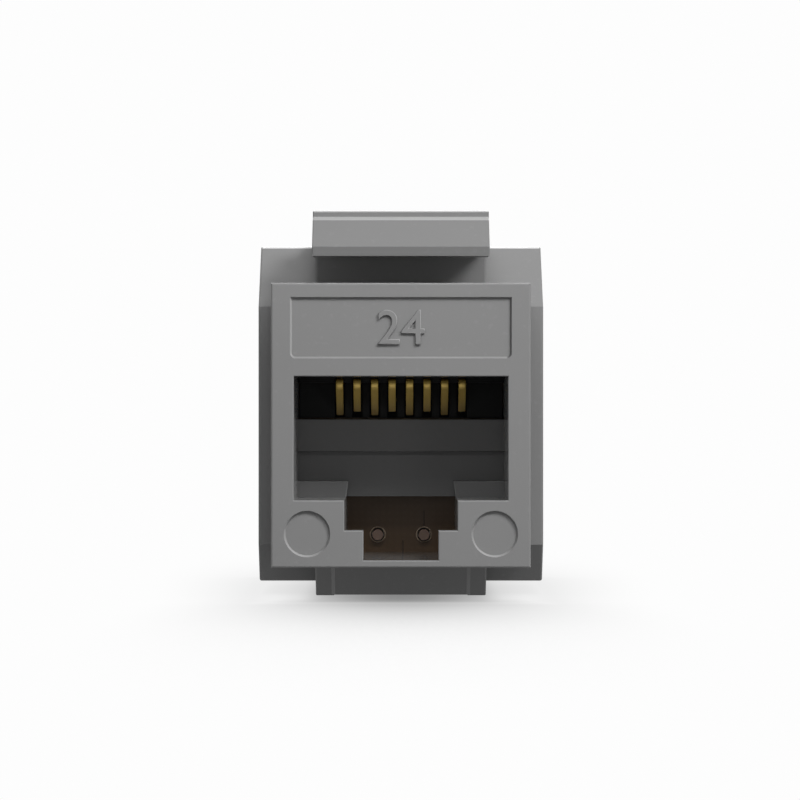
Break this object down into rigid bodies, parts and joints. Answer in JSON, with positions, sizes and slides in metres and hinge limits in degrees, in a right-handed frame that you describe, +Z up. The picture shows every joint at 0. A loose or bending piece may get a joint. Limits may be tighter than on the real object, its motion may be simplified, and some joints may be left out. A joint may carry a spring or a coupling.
{
  "type": "keystone jack",
  "caption": "Snap-in network jack for a panel or wall plate, with a stepped plug port, a sprung latch on top, a fixed hook below and a rear block for the wires",
  "frame": {"origin": "middle of the front face, in the mouth of the port", "axes": "-Y points out of the face to the person who plugs in, +Y runs back to the wires, +X is to the right seen from the front, +Z is up to the latch"},
  "size_m": [0.0164, 0.0312, 0.0222],
  "materials": {
    "housing_plastic": "fine satin moulding",
    "carrier_plastic": "matte black",
    "board_laminate": "dark brown laminate",
    "terminal_plastic": "fine satin moulding",
    "cap_plastic": "fine satin moulding",
    "contact_gold": "gold plated spring strip",
    "blade_tin": "tin plated"
  },
  "bodies": {
    "housing": {"front_housing": "housing_plastic", "contact_carrier": "carrier_plastic", "circuit_board": "board_laminate", "terminal_block": "terminal_plastic", "contact_1": "contact_gold", "contact_2": "contact_gold", "contact_3": "contact_gold", "contact_4": "contact_gold", "contact_5": "contact_gold", "contact_6": "contact_gold", "contact_7": "contact_gold", "contact_8": "contact_gold", "idc_blade_1": "blade_tin", "idc_blade_2": "blade_tin", "idc_blade_3": "blade_tin", "idc_blade_4": "blade_tin", "idc_blade_5": "blade_tin", "idc_blade_6": "blade_tin", "idc_blade_7": "blade_tin", "idc_blade_8": "blade_tin"},
    "latch_arm": {"latch": "housing_plastic"},
    "upper_cap": {"upper_wire_cap": "cap_plastic"},
    "lower_cap": {"lower_wire_cap": "cap_plastic"}
  },
  "joints": [
    {"name": "latch_flex", "type": "hinge", "parent": "housing", "child": "latch_arm", "pos_m": [0, 0.01045, 0.01065], "axis": [1, 0, 0], "range_deg": [0, 12], "stiffness_Nm_per_rad": 0.25},
    {"name": "upper_cap_pull", "type": "slide", "parent": "housing", "child": "upper_cap", "axis": [0, 1, 0], "range_m": [0, 0.01]},
    {"name": "lower_cap_pull", "type": "slide", "parent": "housing", "child": "lower_cap", "axis": [0, 1, 0], "range_m": [0, 0.01]}
  ]
}
